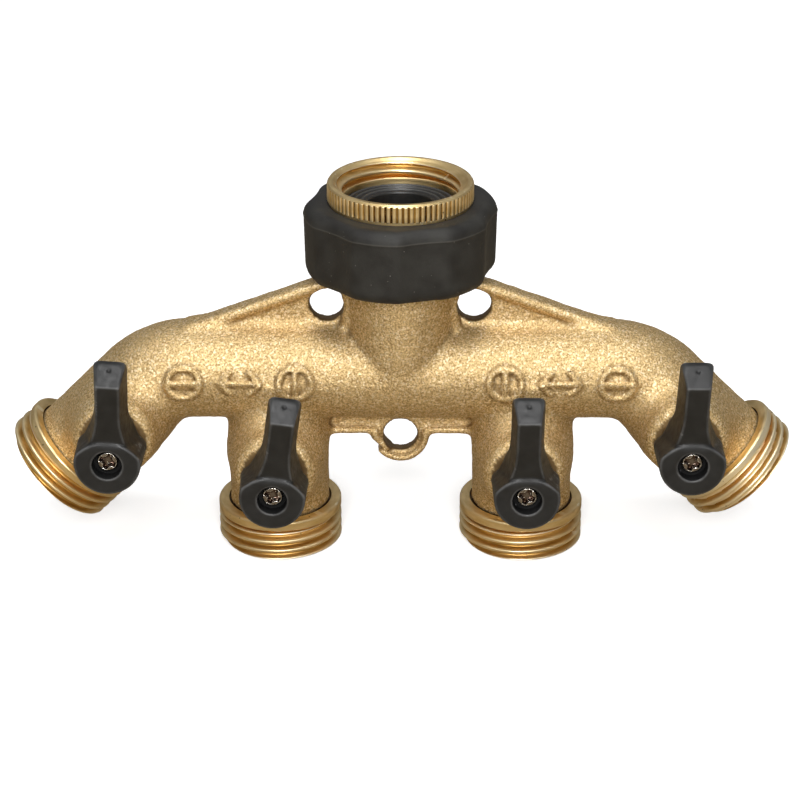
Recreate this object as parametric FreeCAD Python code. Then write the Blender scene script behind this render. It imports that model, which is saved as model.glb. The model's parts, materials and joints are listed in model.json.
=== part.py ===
import FreeCAD, Part
import math
import os

# Four-way hose splitter: a cast brass manifold with a swivel hose nut on top and four valved hose outlets.
#
# Millimetres. +Z runs up the inlet, +X along the cross tube, and -Y is the front, where the levers are.
# The part's origin is midway between the two upper fixing holes. The pieces are drawn about the point where
# the inlet axis crosses the cross tube's axis, and moved to the part's origin as they are saved.
#
# Each valve is drawn in its own frame: the ball's centre is the origin, the outlet leaves along -Z and the
# stem leaves along -Y. The frame is then turned to the outlet's direction and moved to the ball's place.

Vector = FreeCAD.Vector
X_AXIS = Vector(1, 0, 0)
Y_AXIS = Vector(0, 1, 0)
Z_AXIS = Vector(0, 0, 1)

# Garden hose thread, 3/4-11.5 NH
PITCH = 25.4 / 11.5
THREAD_DEPTH = 1.3
CREST_FLAT = 0.40
FLANK_SLOPE = math.tan(math.radians(30))
MALE_R = 13.5
MALE_ROOT_R = MALE_R - THREAD_DEPTH
FEMALE_MINOR_R = 12.3
FEMALE_MAJOR_R = FEMALE_MINOR_R + THREAD_DEPTH
CREST_SHY = 0.02                 # how far a thread's crest stays inside its nominal radius
SINK = 0.2                       # how far a thread ridge runs into its core, so that the two join

# Water way
BORE_R = 7.6
PORT_R = 5.4

# Inlet neck
NECK_R = 11.0
NECK_SHOULDER_Z = 29.8
NECK_TURNED_R = 10.3
NECK_TOP_Z = 34.8
RING_GROOVE_R = 9.6
RING_GROOVE_Z = 32.7
RING_GROOVE_HEIGHT = 1.3

# Swivel nut and what rides with it
RUN_GAP = 0.06
END_GAP = 0.1
NUT_BODY_R = 15.0
NUT_TOP_Z = 43.1
NUT_FLOOR_HEIGHT = 2.7
NUT_LAND_HEIGHT = 1.0
NUT_BOTTOM_Z = NECK_SHOULDER_Z + END_GAP
KNURL_R = 15.45
KNURL_DEPTH = 0.32
KNURL_TEETH = 80
KNURL_BOTTOM_Z = 39.1
KNURL_TOP_Z = 42.6
GRIP_R = 20.4
GRIP_BOTTOM_Z = 22.6
GRIP_TOP_Z = 38.7
GRIP_NECK_HOLE_R = 11.8
GRIP_FLUTES = 6
GRIP_FLUTE_DEPTH = 1.2
GRIP_FLUTE_R = 28.0
GRIP_FLUTE_START = -75.0         # azimuth of one flute's middle, in degrees
GRIP_CORNER_R = 1.2
GRIP_EDGE_R = 2.6
WASHER_R = 12.5
WASHER_CHAMBER_R = 12.6
WASHER_HOLE_R = 7.4
WASHER_HEIGHT = 2.9
WASHER_RIB_RADII = (8.6, 10.0)
WASHER_RIB_HALF = 0.35
WASHER_RIB_HEIGHT = 0.35

# Cross tube and elbows
TUBE_R = 10.7
ARM_CROSSING_X = 51.15           # where an outer arm's axis meets the cross tube's axis
ARM_ANGLE = 45.0
BEND_R = 15.0
BEND_TANGENT = BEND_R * math.tan(math.radians(ARM_ANGLE / 2))

# Outlets and valves, in the valve frame
INNER_X = 26.6
INNER_BALL_Z = -17.6
OUTER_BALL_ALONG_ARM = 13.5
INNER_OUTLET_END = -22.6         # an outlet's end face, from its ball's centre
OUTER_OUTLET_END = -20.9
SHOULDER_TOP = -13.3
SHOULDER_RING = 1.7
SHOULDER_RECESS = 0.6
SHOULDER_RECESS_R = 11.6
SHOULDER_EDGE_R = 0.5
CASTING_END = SHOULDER_TOP - SHOULDER_RECESS + 0.05
BALL_R = 7.4
BALL_BORE_R = 4.5
CHAMBER_R = 8.45
CHAMBER_HALF = 7.0
SEAT_FIT = 0.02
SEAT_START = 4.0
FITTING_HOLE_R = 9.0
FITTING_SPIGOT_R = 8.95
FITTING_MOUTH_R = 9.2
FITTING_MOUTH_TOP = -14.5
END_CHAMFER = 1.3

# Stem, from the ball outwards along -Y
TANG_THICK = 2.4
SLOT_THICK = 2.5
TANG_START = 5.4
COLLAR_START = 7.7
COLLAR_END = 9.2
COLLAR_R = 3.9
POCKET_R = 4.0
POCKET_END = 9.9
STEM_R = 3.0
STEM_HOLE_R = STEM_R + 0.05
O_RING_PLACES = (11.9, 14.5)
O_RING_CENTRE_R = 2.52
O_RING_WIRE_R = 0.5
O_RING_GROOVE_R = 2.0
O_RING_GROOVE_HALF = 0.65
BOSS_R = 8.2
BOSS_FACE = 17.0
SQUARE = 4.2
SQUARE_END = 22.9

# Lever
HUB_BACK = 17.2
HUB_FRONT = 28.0
HUB_FRONT_R = 6.95
HUB_BACK_R = 7.2
SOCKET = SQUARE + 0.06
SOCKET_END = 23.0
COUNTERBORE_R = 3.05
COUNTERBORE_FLOOR = 24.35
BLADE_TOP = 22.5
CREST_HEIGHT = 18.9
CREST_FRONT = 31.0
TIP_FRONT = 26.3
STEP_HEIGHT = 4.2
BLADE_BACK_PLANE = 18.4
BLADE_BASE_HEIGHT = 1.0          # where the back outline's flares meet the hub
BLADE_BACK_HALF = 3.5
BLADE_FRONT_HALF = 2.45
FLARE_START = 12.0
BACK_FLARE_R = 20.0
FRONT_FLARE_R = 24.0
HIP_HEIGHT = 4.0                 # above this the hub is cut away beside the blade
TIP_CORNER_R = 0.9

# Travel stop: a lug on the boss runs in an arc slot in the back of the lever's hub
PAST_UPRIGHT = 8.0
OUTER_LEFT_LEAN = 4.0            # the outer left lever rests between upright and its stop
SHUT_ANGLE = 90.0
STOP_INNER_R = 4.7
STOP_OUTER_R = 6.1
STOP_HEIGHT = 1.2
STOP_LUG_HALF = 10.0
STOP_SLACK = 1.0
STOP_GAP = 0.15
STOP_MIDDLE = (SHUT_ANGLE - PAST_UPRIGHT) / 2
SLOT_HALF = (SHUT_ANGLE + PAST_UPRIGHT) / 2 + STOP_LUG_HALF + STOP_SLACK

# Lever screw
SCREW_HEAD_R = 2.2
SCREW_HEAD_HEIGHT = 1.6
SCREW_R = 1.2
SCREW_TIP = 15.6
CROSS_WIDTH = 0.75
CROSS_LENGTH = 2.7
CROSS_DEPTH = 1.1

# Mid-plane webs
WEB_HALF = 1.5
BEAD_HALF = 2.4
BEAD_WIDTH = 1.9
UPPER_WEB_INNER = (13.2, 22.3)   # x, z where the upper webs' sloped top edge starts, just under the grip
UPPER_WEB_OUTER = (45.0, 10.6)
FIX_HOLE_R = 3.7
UPPER_HOLE = (15.7, 15.5)
LOWER_WEB_Z = -14.9
LOWER_HOLE_Z = -15.4
LUG_R = 6.1


def cylinder(radius, start, end, direction=Z_AXIS):
    """A round bar on an axis through the origin, from start to end along the direction."""
    return Part.makeCylinder(radius, end - start, direction * start, direction)


def tube(outer_r, inner_r, start, end, direction=Z_AXIS):
    """A round tube on an axis through the origin."""
    return cylinder(outer_r, start, end, direction).cut(cylinder(inner_r, start, end, direction))


def turned(outline):
    """A solid turned round Z from an outline of (radius, height) points."""
    points = [Vector(radius, 0, height) for radius, height in outline]
    wire = Part.makePolygon(points + [points[0]])
    return Part.Face(wire).revolve(Vector(0, 0, 0), Z_AXIS, 360)


def plate(outline, half_thickness):
    """A flat plate in the XZ plane from an outline of (x, z) points."""
    points = [Vector(x, -half_thickness, z) for x, z in outline]
    wire = Part.makePolygon(points + [points[0]])
    return Part.Face(wire).extrude(Y_AXIS * 2 * half_thickness)


def joined(shapes):
    """All the shapes fused into one clean solid."""
    return shapes[0].multiFuse(shapes[1:]).removeSplitter().Solids[0]


def thread_ridge(inner_r, outer_r, bottom, top, crest_outside):
    """A helical ridge between two radii, wide at its root and narrow at its crest."""
    crest_half = CREST_FLAT / 2
    root_half = crest_half + (outer_r - inner_r) * FLANK_SLOPE
    inner_half = root_half if crest_outside else crest_half
    outer_half = crest_half if crest_outside else root_half
    helix = Part.makeHelix(PITCH, top - bottom, inner_r)
    corners = [
        Vector(inner_r, 0, -inner_half),
        Vector(outer_r, 0, -outer_half),
        Vector(outer_r, 0, outer_half),
        Vector(inner_r, 0, inner_half),
    ]
    profile = Part.makePolygon(corners + [corners[0]])
    ridge = Part.Wire(helix.Edges).makePipeShell([profile], True, True)
    ridge.translate(Z_AXIS * bottom)
    return ridge


def sector(inner_r, outer_r, middle, half_angle, start, end):
    """Part of a tube about Y. The middle is an angle from +X towards +Z, seen from the front."""
    face = Part.makePolygon([
        Vector(inner_r, -start, 0),
        Vector(outer_r, -start, 0),
        Vector(outer_r, -end, 0),
        Vector(inner_r, -end, 0),
        Vector(inner_r, -start, 0),
    ])
    solid = Part.Face(face).revolve(Vector(0, 0, 0), -Y_AXIS, 2 * half_angle)
    solid.rotate(Vector(0, 0, 0), -Y_AXIS, middle - half_angle)
    return solid


class Valve:
    """One outlet: its name, ball centre, direction and the way its lever turns to shut."""

    def __init__(self, name, side, inner, lever_lean):
        self.name = name
        self.side = side
        self.lean = lever_lean
        along = OUTER_BALL_ALONG_ARM * math.sqrt(0.5)
        if inner:
            self.centre = Vector(side * INNER_X, 0, INNER_BALL_Z)
            self.turn = 0.0
            self.outlet_end = INNER_OUTLET_END
        else:
            self.centre = Vector(side * (ARM_CROSSING_X + along), 0, -along)
            self.turn = -side * ARM_ANGLE
            self.outlet_end = OUTER_OUTLET_END

    def along_outlet(self, shape):
        """Turns a shape to the outlet's direction and moves it to the ball's centre."""
        placed = shape.copy()
        placed.rotate(Vector(0, 0, 0), Y_AXIS, self.turn)
        placed.translate(self.centre)
        return placed

    def leaned(self, shape):
        """Turns an upright shape with the lever's lean and moves it to the ball's centre."""
        placed = shape.copy()
        placed.rotate(Vector(0, 0, 0), Y_AXIS, self.lean)
        placed.translate(self.centre)
        return placed

    def turned_with_ball(self, shape):
        """Turns a shape to the outlet's direction and on by the lever's lean."""
        placed = shape.copy()
        placed.rotate(Vector(0, 0, 0), Y_AXIS, self.turn + self.lean)
        placed.translate(self.centre)
        return placed


VALVES = (
    Valve("outer_left", -1, False, OUTER_LEFT_LEAN),
    Valve("inner_left", -1, True, PAST_UPRIGHT),
    Valve("inner_right", 1, True, 0.0),
    Valve("outer_right", 1, False, 0.0),
)


def bent_run(side, radius):
    """Half of the cross tube with its elbow, as a round bar."""
    straight_end = ARM_CROSSING_X - BEND_TANGENT
    straight = cylinder(radius, 0, straight_end, X_AXIS * side)
    circle = Part.makeCircle(radius, Vector(side * straight_end, 0, 0), X_AXIS)
    section = Part.Face(Part.Wire(circle))
    elbow = section.revolve(Vector(side * straight_end, 0, -BEND_R), Y_AXIS * side, ARM_ANGLE)
    return [straight, elbow]


def arm(valve, radius, start, end):
    """A round bar along an outlet's axis, in the valve frame's heights."""
    return valve.along_outlet(cylinder(radius, start, end))


def web_solids():
    """The mid-plane webs with their beaded edges and the lower fixing lug."""
    solids = []
    (x0, z0), (x1, z1) = UPPER_WEB_INNER, UPPER_WEB_OUTER
    slope = math.atan2(z0 - z1, x1 - x0)
    bead_drop = BEAD_WIDTH / math.cos(slope)
    for side in (-1, 1):
        outline = [(0, 0), (side * x1, 0), (side * x1, z1), (side * x0, z0), (0, z0)]
        solids.append(plate(outline, WEB_HALF))
        bead = [(0, z0), (side * x0, z0), (side * x1, z1), (side * x1, z1 - bead_drop),
                (side * x0, z0 - bead_drop), (0, z0 - bead_drop)]
        solids.append(plate(bead, BEAD_HALF))
    for top, half_thickness in ((0, WEB_HALF), (LOWER_WEB_Z + BEAD_WIDTH, BEAD_HALF)):
        lower = [(-INNER_X, top), (INNER_X, top), (INNER_X, LOWER_WEB_Z), (-INNER_X, LOWER_WEB_Z)]
        solids.append(plate(lower, half_thickness))
    lug = cylinder(LUG_R, -BEAD_HALF, BEAD_HALF, Y_AXIS)
    lug.translate(Vector(0, 0, LOWER_HOLE_Z))
    solids.append(lug)
    return solids


def fixing_holes():
    """The three screw holes through the webs."""
    holes = []
    for x, z in ((-UPPER_HOLE[0], UPPER_HOLE[1]), UPPER_HOLE, (0, LOWER_HOLE_Z)):
        hole = cylinder(FIX_HOLE_R, -BEAD_HALF * 2, BEAD_HALF * 2, Y_AXIS)
        hole.translate(Vector(x, 0, z))
        holes.append(hole)
    return holes


def make_casting():
    """The brass body with all its cored and machined hollows."""
    neck = turned([
        (0, 0),
        (NECK_R, 0),
        (NECK_R, NECK_SHOULDER_Z),
        (NECK_TURNED_R, NECK_SHOULDER_Z),
        (NECK_TURNED_R, RING_GROOVE_Z),
        (RING_GROOVE_R, RING_GROOVE_Z),
        (RING_GROOVE_R, RING_GROOVE_Z + RING_GROOVE_HEIGHT),
        (NECK_TURNED_R, RING_GROOVE_Z + RING_GROOVE_HEIGHT),
        (NECK_TURNED_R, NECK_TOP_Z),
        (0, NECK_TOP_Z),
    ])
    outside = [neck] + web_solids()
    hollows = [cylinder(BORE_R, 0, NECK_TOP_Z + 1)] + fixing_holes()
    for side in (-1, 1):
        outside += bent_run(side, TUBE_R)
        hollows += bent_run(side, BORE_R)
    for valve in VALVES:
        inner = valve.turn == 0
        reach = -INNER_BALL_Z if inner else OUTER_BALL_ALONG_ARM - BEND_TANGENT
        outside.append(arm(valve, NECK_R if inner else TUBE_R, CASTING_END, reach))
        boss = cylinder(BOSS_R, 0, BOSS_FACE, -Y_AXIS)
        outside.append(valve.along_outlet(boss))
        stop = sector(STOP_INNER_R, STOP_OUTER_R, -90 - valve.side * STOP_MIDDLE, STOP_LUG_HALF,
                      BOSS_FACE - 1, BOSS_FACE + STOP_HEIGHT)
        stop.translate(valve.centre)
        outside.append(stop)
        hollows.append(arm(valve, PORT_R, 0, max(reach, CHAMBER_HALF + 1)))
        hollows.append(arm(valve, CHAMBER_R, -CHAMBER_HALF, CHAMBER_HALF))
        hollows.append(arm(valve, FITTING_HOLE_R, CASTING_END - 1, -CHAMBER_HALF))
        hollows.append(valve.along_outlet(cylinder(STEM_HOLE_R, 0, BOSS_FACE + 1, -Y_AXIS)))
        hollows.append(valve.along_outlet(cylinder(POCKET_R, 0, POCKET_END, -Y_AXIS)))
    body = joined(outside)
    return body.cut(hollows[0].multiFuse(hollows[1:])).removeSplitter().Solids[0]


def make_swivel_nut():
    """The knurled nut that holds the supply hose's fitting."""
    floor_top = NUT_BOTTOM_Z + NUT_FLOOR_HEIGHT
    land_bottom = NECK_TOP_Z + WASHER_HEIGHT + WASHER_RIB_HEIGHT + 0.05
    land_top = land_bottom + NUT_LAND_HEIGHT
    core = turned([
        (NECK_TURNED_R + RUN_GAP, NUT_BOTTOM_Z),
        (NUT_BODY_R, NUT_BOTTOM_Z),
        (NUT_BODY_R, NUT_TOP_Z),
        (FEMALE_MAJOR_R, NUT_TOP_Z),
        (FEMALE_MAJOR_R, land_top + THREAD_DEPTH * FLANK_SLOPE),
        (FEMALE_MINOR_R, land_top),
        (FEMALE_MINOR_R, land_bottom),
        (WASHER_CHAMBER_R, land_bottom),
        (WASHER_CHAMBER_R, floor_top),
        (NECK_TURNED_R + RUN_GAP, floor_top),
    ])
    points = []
    for step in range(2 * KNURL_TEETH):
        angle = math.pi * step / KNURL_TEETH
        radius = KNURL_R - KNURL_DEPTH * (step % 2)
        points.append(Vector(radius * math.cos(angle), radius * math.sin(angle), KNURL_BOTTOM_Z))
    knurl_face = Part.Face(Part.makePolygon(points + [points[0]]))
    knurl = knurl_face.extrude(Z_AXIS * (KNURL_TOP_Z - KNURL_BOTTOM_Z))
    knurl = knurl.cut(cylinder(NUT_BODY_R - 1, KNURL_BOTTOM_Z - 1, NUT_TOP_Z))
    ridge = thread_ridge(FEMALE_MINOR_R + CREST_SHY, FEMALE_MAJOR_R + SINK, land_top, NUT_TOP_Z + PITCH,
                         False)
    envelope = turned([
        (FEMALE_MINOR_R - SINK, land_top - 0.5),
        (FEMALE_MAJOR_R + 2 * SINK, land_top - 0.5),
        (FEMALE_MAJOR_R + 2 * SINK, NUT_TOP_Z - 0.1),
        (FEMALE_MAJOR_R - 0.3, NUT_TOP_Z - 0.1),
        (FEMALE_MINOR_R - SINK, NUT_TOP_Z - 1.3),
    ])
    return joined([core, knurl, ridge.common(envelope)])


def make_nut_grip():
    """The fluted rubber collar round the nut."""
    body = cylinder(GRIP_R, GRIP_BOTTOM_Z, GRIP_TOP_Z)
    for index in range(GRIP_FLUTES):
        angle = math.radians(GRIP_FLUTE_START + index * 360 / GRIP_FLUTES)
        distance = GRIP_R - GRIP_FLUTE_DEPTH + GRIP_FLUTE_R
        flute = cylinder(GRIP_FLUTE_R, GRIP_BOTTOM_Z, GRIP_TOP_Z)
        flute.translate(Vector(distance * math.cos(angle), distance * math.sin(angle), 0))
        body = body.cut(flute)
    corners = [
        edge for edge in body.Edges
        if edge.BoundBox.ZLength > GRIP_EDGE_R and edge.BoundBox.XLength < 0.01
    ]
    body = body.makeFillet(GRIP_CORNER_R, corners)
    rims = [edge for edge in body.Edges if edge.BoundBox.ZLength < 0.01]
    body = body.makeFillet(GRIP_EDGE_R, rims)
    body = body.cut(cylinder(NUT_BODY_R, NUT_BOTTOM_Z, GRIP_TOP_Z + 1))
    return body.cut(cylinder(GRIP_NECK_HOLE_R, GRIP_BOTTOM_Z - 1, NUT_BOTTOM_Z)).Solids[0]


def make_inlet_washer():
    """The rubber hose washer, with two round ribs on its face."""
    bottom = NECK_TOP_Z + 0.05
    top = NECK_TOP_Z + WASHER_HEIGHT
    washer = tube(WASHER_R, WASHER_HOLE_R, bottom, top)
    for radius in WASHER_RIB_RADII:
        rib = tube(radius + WASHER_RIB_HALF, radius - WASHER_RIB_HALF, top - 0.5, top + WASHER_RIB_HEIGHT)
        washer = washer.fuse(rib)
    return washer.removeSplitter().Solids[0]


def make_retaining_ring():
    """The split ring that keeps the nut on the neck."""
    bottom = RING_GROOVE_Z + 0.05
    ring = tube(NECK_TURNED_R + 1.3, RING_GROOVE_R + 0.02, bottom, bottom + 1.1)
    gap = Part.makeBox(4, 3, 4, Vector(RING_GROOVE_R - 1, -1.5, bottom - 1))
    return ring.cut(gap).Solids[0]


def make_outlet_fitting(valve):
    """The turned outlet end with its shoulder ring and hose thread."""
    thread_top = SHOULDER_TOP - SHOULDER_RING
    core = turned([
        (PORT_R, -CHAMBER_HALF - 0.02),
        (FITTING_SPIGOT_R, -CHAMBER_HALF - 0.02),
        (FITTING_SPIGOT_R, SHOULDER_TOP - SHOULDER_RECESS),
        (SHOULDER_RECESS_R, SHOULDER_TOP - SHOULDER_RECESS),
        (SHOULDER_RECESS_R, SHOULDER_TOP),
        (MALE_R - SHOULDER_EDGE_R, SHOULDER_TOP),
        (MALE_R, SHOULDER_TOP - SHOULDER_EDGE_R),
        (MALE_R, thread_top),
        (MALE_ROOT_R, thread_top),
        (MALE_ROOT_R, valve.outlet_end),
        (FITTING_MOUTH_R, valve.outlet_end),
        (FITTING_MOUTH_R, FITTING_MOUTH_TOP),
        (PORT_R, FITTING_MOUTH_TOP + 1.5),
    ])
    ridge_bottom = thread_top - 4 * PITCH
    ridge = thread_ridge(MALE_ROOT_R - SINK, MALE_R - CREST_SHY, ridge_bottom, thread_top + PITCH / 2, True)
    envelope = turned([
        (MALE_ROOT_R - 2 * SINK, valve.outlet_end),
        (MALE_R + 0.5 - END_CHAMFER, valve.outlet_end),
        (MALE_R + 0.5, valve.outlet_end + END_CHAMFER),
        (MALE_R + 0.5, thread_top + 0.3),
        (MALE_ROOT_R - 2 * SINK, thread_top + 0.3),
    ])
    return valve.along_outlet(joined([core, ridge.common(envelope)]))


def make_ball():
    """The valve ball: bored through and slotted for the stem."""
    ball = Part.makeSphere(BALL_R)
    ball = ball.cut(cylinder(BALL_BORE_R, -BALL_R, BALL_R))
    slot = Part.makeBox(2 * BALL_R, 3, SLOT_THICK, Vector(-BALL_R, -TANG_START - 2.9, -SLOT_THICK / 2))
    return ball.cut(slot).Solids[0]


def make_seat(upper):
    """A ring that seals against the ball, above or below it."""
    seat = tube(CHAMBER_R - SEAT_FIT, PORT_R, SEAT_START, CHAMBER_HALF)
    seat = seat.cut(Part.makeSphere(BALL_R + SEAT_FIT))
    if not upper:
        seat.rotate(Vector(0, 0, 0), X_AXIS, 180)
    return seat.Solids[0]


def make_stem(valve):
    """The stem: tang, blow-out collar, shaft with two O-ring grooves, square end and tapped hole."""
    tang = Part.makeBox(2 * COLLAR_R, COLLAR_START - TANG_START + 0.5, TANG_THICK,
                        Vector(-COLLAR_R, -COLLAR_START - 0.5, -TANG_THICK / 2))
    tang = tang.common(cylinder(COLLAR_R, 0, COLLAR_END, -Y_AXIS))
    tang.rotate(Vector(0, 0, 0), Y_AXIS, valve.turn)
    collar = cylinder(COLLAR_R, COLLAR_START, COLLAR_END, -Y_AXIS)
    shaft = cylinder(STEM_R, COLLAR_START, BOSS_FACE, -Y_AXIS)
    for place in O_RING_PLACES:
        shaft = shaft.cut(tube(STEM_R + 1, O_RING_GROOVE_R, place - O_RING_GROOVE_HALF,
                               place + O_RING_GROOVE_HALF, -Y_AXIS))
    square = Part.makeBox(SQUARE, SQUARE_END - BOSS_FACE + 0.5, SQUARE,
                          Vector(-SQUARE / 2, -SQUARE_END, -SQUARE / 2))
    stem = joined([tang, collar, shaft, square])
    stem = stem.cut(cylinder(SCREW_R + 0.02, SCREW_TIP - 1, SQUARE_END + 1, -Y_AXIS))
    return valve.leaned(stem.Solids[0])


def make_stem_washer():
    """The thrust washer over the stem's collar."""
    return tube(COLLAR_R, STEM_R + 0.08, COLLAR_END + 0.05, POCKET_END - 0.05, -Y_AXIS)


def make_stem_o_rings():
    """Two O-rings on the stem, as separate solids."""
    rings = []
    for place in O_RING_PLACES:
        rings.append(Part.makeTorus(O_RING_CENTRE_R, O_RING_WIRE_R, Vector(0, -place, 0), Y_AXIS))
    return Part.makeCompound(rings)


def blade_outline(half_width, flare_r, depth):
    """The blade's outline at one depth: straight sides that flare towards the hub in arcs."""
    flare_angle = math.asin(min(1.0, FLARE_START / flare_r))
    middle_angle = flare_angle / 2

    def flare_point(angle, side):
        x = half_width + flare_r * (1 - math.cos(angle))
        return Vector(side * x, -depth, FLARE_START - flare_r * math.sin(angle))

    def corner(side):
        top = BLADE_TOP - TIP_CORNER_R * (1 - math.sqrt(0.5))
        across = half_width - TIP_CORNER_R * (1 - math.sqrt(0.5))
        return Vector(side * across, -depth, top)

    edges = []
    for side in (1, -1):
        flare = [flare_point(flare_angle, side), flare_point(middle_angle, side), flare_point(0, side)]
        shoulder = Vector(side * half_width, -depth, BLADE_TOP - TIP_CORNER_R)
        crown = Vector(side * (half_width - TIP_CORNER_R), -depth, BLADE_TOP)
        run = [
            Part.Arc(*flare).toShape(),
            Part.makeLine(flare[2], shoulder),
            Part.Arc(shoulder, corner(side), crown).toShape(),
        ]
        edges += run
    left_crown = Vector(-(half_width - TIP_CORNER_R), -depth, BLADE_TOP)
    right_crown = Vector(half_width - TIP_CORNER_R, -depth, BLADE_TOP)
    edges.append(Part.makeLine(right_crown, left_crown))
    edges.append(Part.makeLine(flare_point(flare_angle, 1), flare_point(flare_angle, -1)))
    return Part.Wire(Part.__sortEdges__(edges))


def make_lever():
    """The moulded handle: a round hub with a wedge blade that leans forward to a crest."""
    hub = Part.makeCone(HUB_BACK_R, HUB_FRONT_R, HUB_FRONT - HUB_BACK, Vector(0, -HUB_BACK, 0), -Y_AXIS)
    above_hips = Part.makeBox(20, HUB_FRONT, 10, Vector(-10, -HUB_FRONT - 1, HIP_HEIGHT))
    hub = hub.cut(above_hips)
    blade = Part.makeLoft([
        blade_outline(BLADE_BACK_HALF, BACK_FLARE_R, BLADE_BACK_PLANE),
        blade_outline(BLADE_FRONT_HALF, FRONT_FLARE_R, CREST_FRONT + 0.5),
    ], True, True)
    side_view = Part.makePolygon([Vector(0, -depth, height) for depth, height in (
        (BLADE_BACK_PLANE, BLADE_BASE_HEIGHT),
        (HUB_FRONT, BLADE_BASE_HEIGHT),
        (HUB_FRONT, STEP_HEIGHT),
        (CREST_FRONT, CREST_HEIGHT),
        (TIP_FRONT, BLADE_TOP + 0.01),
        (TIP_FRONT - 1.0, BLADE_TOP + 0.01),
        (21.0, 9.0),
        (BLADE_BACK_PLANE, 6.0),
        (BLADE_BACK_PLANE, BLADE_BASE_HEIGHT),
    )])
    slab = Part.Face(side_view).extrude(X_AXIS * 20)
    slab.translate(X_AXIS * -10)
    lever = joined([hub, blade.common(slab)])
    lever = lever.cut(cylinder(COUNTERBORE_R, COUNTERBORE_FLOOR, CREST_FRONT + 1, -Y_AXIS))
    lever = lever.cut(cylinder(SCREW_R + 0.1, HUB_BACK, CREST_FRONT, -Y_AXIS))
    socket = Part.makeBox(SOCKET, SOCKET_END - HUB_BACK + 1, SOCKET,
                          Vector(-SOCKET / 2, -SOCKET_END, -SOCKET / 2))
    lever = lever.cut(socket)
    slot = sector(STOP_INNER_R - STOP_GAP, STOP_OUTER_R + STOP_GAP, -90, SLOT_HALF,
                  HUB_BACK - 1, BOSS_FACE + STOP_HEIGHT + STOP_GAP)
    return lever.cut(slot).Solids[0]


def make_lever_screw():
    """A small pan head screw with a cross recess."""
    front = COUNTERBORE_FLOOR + SCREW_HEAD_HEIGHT
    head = cylinder(SCREW_HEAD_R, COUNTERBORE_FLOOR, front, -Y_AXIS)
    rim = [
        edge for edge in head.Edges
        if abs(edge.BoundBox.YMin + front) < 0.01 and edge.BoundBox.YLength < 0.01
    ]
    head = head.makeFillet(SCREW_HEAD_HEIGHT * 0.55, rim)
    screw = head.fuse(cylinder(SCREW_R, SCREW_TIP, COUNTERBORE_FLOOR + 0.5, -Y_AXIS))
    for width, length in ((CROSS_WIDTH, CROSS_LENGTH), (CROSS_LENGTH, CROSS_WIDTH)):
        slot = Part.makeBox(width, CROSS_DEPTH + 1, length, Vector(-width / 2, -front - 1, -length / 2))
        screw = screw.cut(slot)
    return screw.removeSplitter().Solids[0]


def save(name, shape):
    """Moves one sub-part to the part's origin and writes it."""
    placed = shape.copy()
    placed.translate(Vector(0, 0, -UPPER_HOLE[1]))
    placed.exportStep(os.path.join("parts", name + ".step"))


os.makedirs("parts", exist_ok=True)
save("manifold_casting", make_casting())
save("swivel_nut", make_swivel_nut())
save("nut_grip", make_nut_grip())
save("inlet_washer", make_inlet_washer())
save("nut_retaining_ring", make_retaining_ring())

ball = make_ball()
lever = make_lever()
screw = make_lever_screw()
for valve in VALVES:
    save("outlet_fitting_" + valve.name, make_outlet_fitting(valve))
    save("ball_" + valve.name, valve.turned_with_ball(ball))
    save("seat_upper_" + valve.name, valve.along_outlet(make_seat(True)))
    save("seat_lower_" + valve.name, valve.along_outlet(make_seat(False)))
    save("stem_" + valve.name, make_stem(valve))
    save("stem_washer_" + valve.name, valve.leaned(make_stem_washer()))
    save("stem_o_rings_" + valve.name, valve.leaned(make_stem_o_rings()))
    save("lever_" + valve.name, valve.leaned(lever))
    save("lever_screw_" + valve.name, valve.leaned(screw))
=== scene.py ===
"""The looks of the four-way hose splitter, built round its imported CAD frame.

Shapes are worked out in millimetres about the point where the inlet's axis crosses the cross tube's axis:
+Z up the inlet, +X along the cross tube, -Y towards the levers. Each valve's own pieces are drawn about its
ball's centre, with the outlet leaving along -Z and the stem along -Y, and then turned to their place.
"""
import json
import math

import bpy
import numpy as np
import openvdb
from mathutils import Matrix, Vector


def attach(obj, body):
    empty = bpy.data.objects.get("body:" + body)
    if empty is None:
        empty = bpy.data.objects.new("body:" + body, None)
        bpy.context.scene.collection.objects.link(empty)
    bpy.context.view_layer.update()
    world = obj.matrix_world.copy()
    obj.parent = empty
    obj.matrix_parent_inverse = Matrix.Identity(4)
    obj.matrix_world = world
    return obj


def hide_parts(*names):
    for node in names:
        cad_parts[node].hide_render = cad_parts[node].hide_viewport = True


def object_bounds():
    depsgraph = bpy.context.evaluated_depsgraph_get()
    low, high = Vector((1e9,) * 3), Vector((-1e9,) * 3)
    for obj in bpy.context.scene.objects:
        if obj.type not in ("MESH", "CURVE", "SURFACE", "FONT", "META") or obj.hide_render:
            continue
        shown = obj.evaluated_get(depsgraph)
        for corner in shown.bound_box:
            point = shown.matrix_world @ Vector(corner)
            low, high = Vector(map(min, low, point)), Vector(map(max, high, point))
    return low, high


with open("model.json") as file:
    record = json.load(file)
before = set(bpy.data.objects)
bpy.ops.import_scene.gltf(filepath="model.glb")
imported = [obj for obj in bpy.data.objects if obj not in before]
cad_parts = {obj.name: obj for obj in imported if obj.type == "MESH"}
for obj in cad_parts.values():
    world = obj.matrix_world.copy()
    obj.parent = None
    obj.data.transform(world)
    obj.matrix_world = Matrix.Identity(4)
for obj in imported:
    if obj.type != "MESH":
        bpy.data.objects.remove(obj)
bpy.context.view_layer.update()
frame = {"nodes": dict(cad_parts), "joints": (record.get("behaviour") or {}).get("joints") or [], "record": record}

MM = 0.001
JOINTS = {joint["name"]: joint for joint in frame["joints"]}
MOUNTS = {mount["name"]: mount for mount in frame["record"]["mounts"]}
LOWER_HOLE_Z = -15.4
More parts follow.
